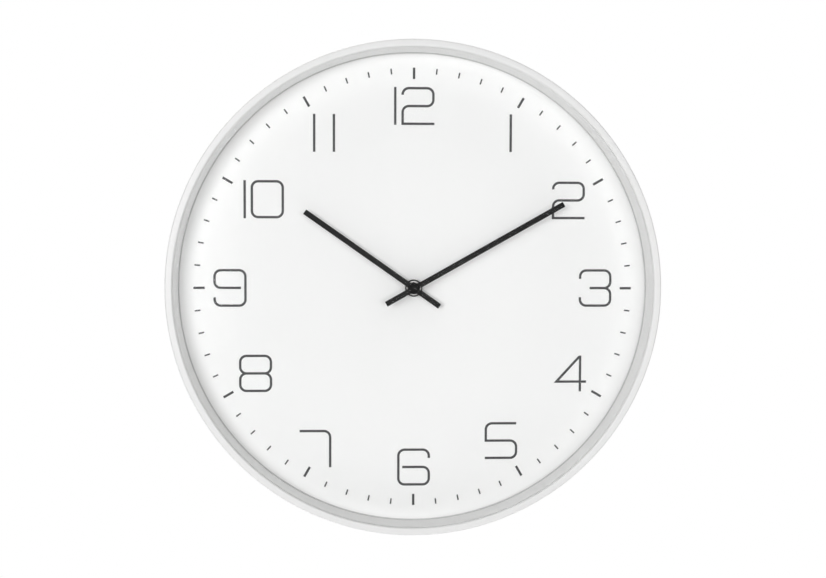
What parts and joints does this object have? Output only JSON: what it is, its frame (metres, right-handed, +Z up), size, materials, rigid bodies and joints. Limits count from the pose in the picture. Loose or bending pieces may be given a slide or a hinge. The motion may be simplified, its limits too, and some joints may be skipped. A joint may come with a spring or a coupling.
{
  "type": "wall clock",
  "caption": "Round wall clock with a deep white metal rim, flat lens, thin printed numerals, black baton hands and a quartz movement behind the dial.",
  "frame": {"origin": "centre of the upper end of the keyhole slot, on the wall plane, where the wall screw carries the clock", "axes": "+Y into the wall, the dial faces -Y; +Z up; +X to the right of someone facing the dial"},
  "size_m": [0.36, 0.045, 0.36],
  "materials": {
    "case_coat": "matt white powder coat on steel",
    "ring_coat": "matt white moulding",
    "dial_face": "matt white enamel with dark grey printing",
    "lens_glass": "clear flat mineral glass",
    "rear_plastic": "off-white moulding with a fine grain",
    "screw_zinc": "zinc plated",
    "hanger_zinc": "zinc plated sheet",
    "rivet_steel": "plain steel",
    "housing_plastic": "black moulding with a fine grain",
    "washer_rubber": "black rubber",
    "nut_steel": "bright nickel plate",
    "contact_steel": "nickel plated spring steel",
    "board_resin": "green solder resist",
    "crystal_can": "drawn metal can",
    "chip_resin": "black resin dome",
    "stator_steel": "soft iron sheet",
    "bobbin_plastic": "natural nylon",
    "winding_copper": "enamelled copper wire",
    "cell_jacket": "printed jacket in plain dark grey, no text",
    "magnet_ferrite": "dark sintered magnet",
    "gear_plastic": "natural acetal",
    "arbor_brass": "turned brass",
    "hand_black": "satin black paint",
    "cap_black": "satin black paint"
  },
  "bodies": {
    "clock_body": {"case_shell": "case_coat", "inner_ring": "ring_coat", "dial": "dial_face", "glass_lens": "lens_glass", "rear_ring": "rear_plastic", "back_plate": "rear_plastic", "back_screw_1": "screw_zinc", "back_screw_2": "screw_zinc", "back_screw_3": "screw_zinc", "back_screw_4": "screw_zinc", "back_screw_5": "screw_zinc", "back_screw_6": "screw_zinc", "hanger_plate": "hanger_zinc", "hanger_rivet_1": "rivet_steel", "hanger_rivet_2": "rivet_steel", "movement_housing": "housing_plastic", "movement_cover": "housing_plastic", "middle_plate": "housing_plastic", "dial_washer": "washer_rubber", "ring_nut": "nut_steel", "positive_contact": "contact_steel", "negative_contact": "contact_steel", "circuit_board": "board_resin", "quartz_crystal": "crystal_can", "timing_chip": "chip_resin", "stator_plate": "stator_steel", "coil_core": "stator_steel", "coil_bobbin": "bobbin_plastic", "coil_winding": "winding_copper"},
    "minute_hand_group": {"minute_arbor": "arbor_brass", "minute_hand": "hand_black", "cap_nut": "cap_black"},
    "hour_hand_group": {"hour_wheel": "gear_plastic", "hour_hand": "hand_black"},
    "minute_works": {"minute_works_wheel": "gear_plastic"},
    "knob": {"setting_knob": "gear_plastic"},
    "rotor": {"rotor_pinion": "gear_plastic", "rotor_magnet": "magnet_ferrite"},
    "intermediate": {"intermediate_wheel": "gear_plastic"},
    "seconds": {"seconds_wheel": "gear_plastic"},
    "third": {"third_wheel": "gear_plastic"},
    "centre": {"centre_wheel": "gear_plastic"},
    "battery": {"battery_cell": "cell_jacket"}
  },
  "joints": [
    {"name": "minute_hand_turn", "type": "hinge", "parent": "clock_body", "child": "minute_hand_group", "pos_m": [0, -0.0203, -0.12], "axis": [0, 1, 0], "continuous": true},
    {"name": "hour_hand_turn", "type": "hinge", "parent": "clock_body", "child": "hour_hand_group", "pos_m": [0, -0.0203, -0.12], "axis": [0, 1, 0], "continuous": true},
    {"name": "minute_works_turn", "type": "hinge", "parent": "clock_body", "child": "minute_works", "pos_m": [-0.00789, -0.0158, -0.12287], "axis": [0, 1, 0], "continuous": true},
    {"name": "setting_knob_turn", "type": "hinge", "parent": "clock_body", "child": "knob", "pos_m": [-0.01531, -0.0025, -0.12682], "axis": [0, 1, 0], "continuous": true},
    {"name": "rotor_turn", "type": "hinge", "parent": "clock_body", "child": "rotor", "pos_m": [0.01419, -0.0065, -0.10873], "axis": [0, 1, 0], "continuous": true},
    {"name": "intermediate_wheel_turn", "type": "hinge", "parent": "clock_body", "child": "intermediate", "pos_m": [0.00574, -0.0085, -0.11181], "axis": [0, 1, 0], "continuous": true},
    {"name": "seconds_wheel_turn", "type": "hinge", "parent": "clock_body", "child": "seconds", "pos_m": [0, -0.0101, -0.12], "axis": [0, 1, 0], "continuous": true},
    {"name": "third_wheel_turn", "type": "hinge", "parent": "clock_body", "child": "third", "pos_m": [-0.00953, -0.0117, -0.1145], "axis": [0, 1, 0], "continuous": true},
    {"name": "centre_wheel_turn", "type": "hinge", "parent": "clock_body", "child": "centre", "pos_m": [0, -0.0146, -0.12], "axis": [0, 1, 0], "continuous": true},
    {"name": "battery_slide", "type": "slide", "parent": "clock_body", "child": "battery", "axis": [0, 1, 0], "range_m": [0, 0.022]}
  ],
  "couplings": [
    {"joint": "hour_hand_turn", "follows": "minute_hand_turn", "ratio": 0.083333},
    {"joint": "minute_works_turn", "follows": "minute_hand_turn", "ratio": -0.33333},
    {"joint": "setting_knob_turn", "follows": "minute_hand_turn", "ratio": 1},
    {"joint": "intermediate_wheel_turn", "follows": "rotor_turn", "ratio": -0.16667},
    {"joint": "seconds_wheel_turn", "follows": "rotor_turn", "ratio": 0.033333},
    {"joint": "third_wheel_turn", "follows": "rotor_turn", "ratio": -0.0044444},
    {"joint": "centre_wheel_turn", "follows": "rotor_turn", "ratio": 0.00055556}
  ]
}
